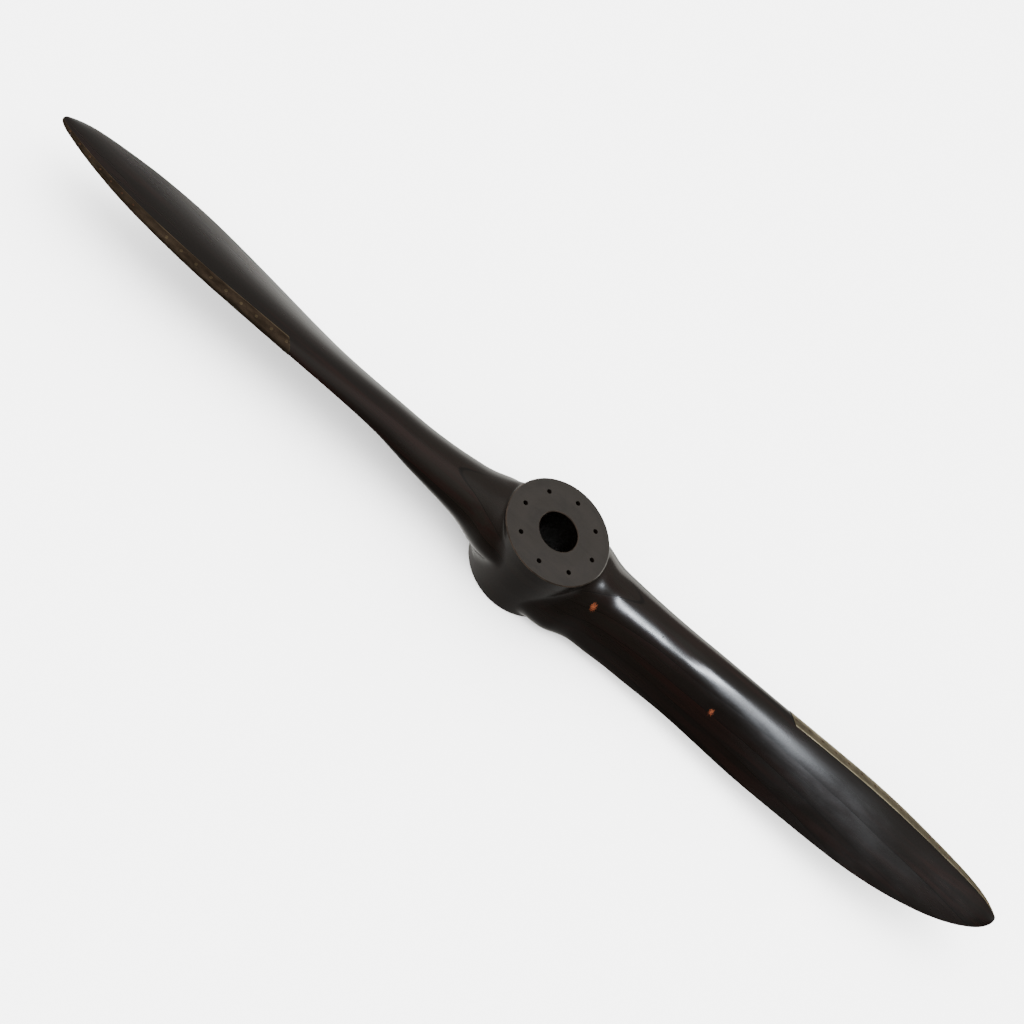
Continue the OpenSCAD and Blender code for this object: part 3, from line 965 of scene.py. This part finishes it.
# Brightness by height, from -1 straight down to 1 straight up, with the ramp's two ends first
ROOM_HEIGHTS = [(-0.3, 1.0), (0.95, 0.7), (0.05, 0.38), (0.38, 0.30), (0.78, 0.38)]


def add_camera():
    camera = bpy.data.objects.new("camera", bpy.data.cameras.new("camera"))
    bpy.context.scene.collection.objects.link(camera)
    camera.data.lens = LENS
    camera.data.sensor_width = FILM_WIDTH
    camera.data.clip_start = 0.05
    back = -CAMERA_FORWARD.normalized()
    right = CAMERA_UP.cross(back).normalized()
    up = back.cross(right)
    turn = Matrix((right, up, back)).transposed()
    camera.matrix_world = Matrix.Translation(CAMERA_PLACE) @ turn.to_4x4()
    bpy.context.scene.camera = camera


def add_light(name, kind, place, target, power, colour, **settings):
    light = bpy.data.lights.new(name, kind)
    light.energy = power
    light.color = colour
    for key, value in settings.items():
        setattr(light, key, value)
    obj = bpy.data.objects.new(name, light)
    bpy.context.scene.collection.objects.link(obj)
    obj.location = place
    obj.rotation_euler = (Vector(target) - Vector(place)).to_track_quat("-Z", "Y").to_euler()
    return obj


def add_floor():
    """A white floor that curves up into walls, which the varnish doesn't mirror, and a small disc of
    it under the hub that keeps stray light out of the bore."""
    bend = np.linspace(0, math.pi / 2, 16)
    profile = [(FLOOR_R + BEND_R * math.sin(a), BEND_R * (1 - math.cos(a)) - FLOOR_GAP) for a in bend]
    profile.append((FLOOR_R + BEND_R, WALL_TOP))
    angles = np.arange(ROUND) * 2 * math.pi / ROUND
    verts = [(r * math.cos(a), r * math.sin(a), z) for r, z in profile for a in angles]
    at = np.arange(len(verts)).reshape(len(profile), ROUND)
    turned = np.roll(at, -1, axis=1)
    walls = np.stack([at[:-1], at[1:], turned[1:], turned[:-1]], -1).reshape(-1, 4).tolist()
    disc = [(0.9 * HUB_R * math.cos(a), 0.9 * HUB_R * math.sin(a), -FLOOR_GAP / 2) for a in angles]
    paint = floor_paint()
    floor = new_object("floor", verts, [range(ROUND)] + walls, paint)
    floor.data.polygons.foreach_set("use_smooth", [True] * len(floor.data.polygons))
    under_hub = new_object("floor_under_hub", disc, [range(ROUND)], paint)
    floor.visible_glossy = floor.visible_diffuse = floor.visible_shadow = False
    lit = bpy.data.collections.new("lit_floor")
    lit.objects.link(floor)
    return lit


def add_floor_lights(lit):
    """Light that falls on the floor alone, so that it is white under a dark, glossy object."""
    fill = add_light("floor_fill", "SUN", (0, 0, 3), (0, 0, 0), 12, WHITE, angle=3.0, use_shadow=False)
    key = add_light("floor_key", "SUN", (0.9, 1.3, 3), (0, 0, 0), 6, WHITE, angle=1.6)
    for sun in (fill, key):
        sun.visible_glossy = False
        sun.light_linking.receiver_collection = lit


def add_room():
    """What the varnish mirrors: a room that is dark behind the camera and brightest low down."""
    world = bpy.data.worlds.new("room")
    bpy.context.scene.world = world
    world.use_nodes = True
    nodes, links = world.node_tree.nodes, world.node_tree.links
    toward = nodes.new("ShaderNodeTexCoord").outputs["Generated"]
    dot = nodes.new("ShaderNodeVectorMath")
    dot.operation = "DOT_PRODUCT"
    links.new(toward, dot.inputs[0])
    dot.inputs[1].default_value = ROOM_AXIS
    sides = nodes.new("ShaderNodeMapRange")
    sides.interpolation_type = "SMOOTHSTEP"
    links.new(dot.outputs["Value"], sides.inputs["Value"])
    for key, value in zip(("From Min", "From Max", "To Min", "To Max"), ROOM_SIDES):
        sides.inputs[key].default_value = value
    parts = nodes.new("ShaderNodeSeparateXYZ")
    links.new(toward, parts.inputs[0])
    height = nodes.new("ShaderNodeMapRange")
    height.inputs["From Min"].default_value = -1
    links.new(parts.outputs["Z"], height.inputs["Value"])
    levels = nodes.new("ShaderNodeValToRGB")
    links.new(height.outputs[0], levels.inputs[0])
    ramp = levels.color_ramp
    ramp.interpolation = "EASE"
    for k, (z, light) in enumerate(ROOM_HEIGHTS):
        stop = ramp.elements[k] if k < 2 else ramp.elements.new((z + 1) / 2)
        stop.position = (z + 1) / 2
        stop.color = (light, light, light, 1)
    both = nodes.new("ShaderNodeMath")
    both.operation = "MULTIPLY"
    links.new(sides.outputs[0], both.inputs[0])
    links.new(levels.outputs[0], both.inputs[1])
    sky = nodes["Background"]
    sky.inputs["Color"].default_value = (*ROOM_COLOUR, 1)
    links.new(both.outputs[0], sky.inputs["Strength"])


def add_mirrored_lights():
    """A small strip above blade A, whose reflection runs along its crest, and a white card behind it."""
    strip = add_light("strip", "AREA", (0.967, -0.264, 1.60), (0.4, 0, 0.13), 21, (0.86, 0.92, 1.0),
                      shape="RECTANGLE", size=0.55, size_y=0.12)
    card = add_light("card", "AREA", (2.1, 2.2, 0.1), (0.8, 0, 0.1), 15, (1.0, 0.97, 0.9),
                     shape="RECTANGLE", size=3.0, size_y=1.2)
    for light in (strip, card):
        light.visible_camera = light.visible_diffuse = False


def add_stage():
    """The floor, the room, and soft light that the varnish doesn't mirror."""
    add_floor_lights(add_floor())
    add_room()
    add_mirrored_lights()
    fill = add_light("fill", "SUN", (-0.5, -0.4, 3.0), (0, 0, 0), 2.0, WHITE, angle=1.6)
    fill.visible_glossy = False


# ---------------------------------------------------------------- the model
def add_piece(obj, node, material):
    """Names a finished piece, paints it and puts it in the place of its CAD node."""
    obj.name = node + "_detailed"
    obj.data.materials.clear()
    obj.data.materials.append(material)
    obj.data.polygons.foreach_set("material_index", [0] * len(obj.data.polygons))
    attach(obj, "root")
    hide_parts(node)


add_camera()
add_stage()

tools_a = joined("fastener_tools", [placed_copies("holes", hole_cutter(SCREW), screw_places()),
                                    placed_copies("holes", hole_cutter(RIVET), rivet_places())])
tools_b = turned_copy(tools_a, "fastener_tools_b")
both_tools = joined("both_tools", [turned_copy(tools_a, "copy"), turned_copy(tools_b, "copy")])

RED_TONES = [0.55, 1.0, 0.7, 1.0, 0.6, 1.0, 0.5]   # how much red shows in each board
GRAIN_SHIFT = 1.7        # sets each board's grain apart from the next one's
for k, (node, board) in enumerate(carved_boards(both_tools).items()):
    low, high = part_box(node)
    cheek = "cheek" in node
    paint = varnished_wood(node + "_varnish", RED_TONES[k], GRAIN_SHIFT * k, low.z, high.z, cheek)
    add_piece(board, node, paint)

solid_sheath = sheath_shell("sheath")
sheath = smooth_with_edges(cut(solid_sheath, tools_a, "DIFFERENCE"))
screws = smooth_with_edges(placed_copies("screws", fastener(SCREW, True), screw_places(), True))
rivets = smooth_with_edges(placed_copies("rivets", fastener(RIVET, False), rivet_places()))
for spare in (solid_sheath, tools_a, tools_b, both_tools):
    bpy.data.objects.remove(spare)

# Metals: the worn colour, the dull colour, the roughness and how far the patina is rubbed off
# The two sheaths share one brass: lighter and olive on blade A as a painted sheen, darker and browner on
# blade B as painted shade.
sheath_brass_painted_lit = tarnished_brass("sheath_brass_a_painted_lit", (0.46, 0.39, 0.25), (0.30, 0.25, 0.165), 0.36)
sheath_brass_painted_shaded = tarnished_brass("sheath_brass_b_painted_shaded", (0.26, 0.20, 0.13), (0.125, 0.090, 0.062), 0.38)
screw_brass = tarnished_brass("screw_brass", (0.42, 0.34, 0.20), (0.24, 0.18, 0.11), 0.32, 0.2)
rivet_copper = tarnished_brass("rivet_copper", (0.42, 0.26, 0.17), (0.24, 0.14, 0.09), 0.33, 0.2)
METAL_PIECES = [("sheath", sheath, "sheath_brass", sheath_brass_painted_lit, sheath_brass_painted_shaded),
                ("sheath_screws", screws, "screw_brass", screw_brass, screw_brass),
                ("sheath_rivets", rivets, "rivet_copper", rivet_copper, rivet_copper)]
for kind, source, slot_name, paint_a, paint_b in METAL_PIECES:
    add_piece(turned_copy(source, kind), kind + "_b", paint_b)
    add_piece(source, kind + "_a", paint_a)
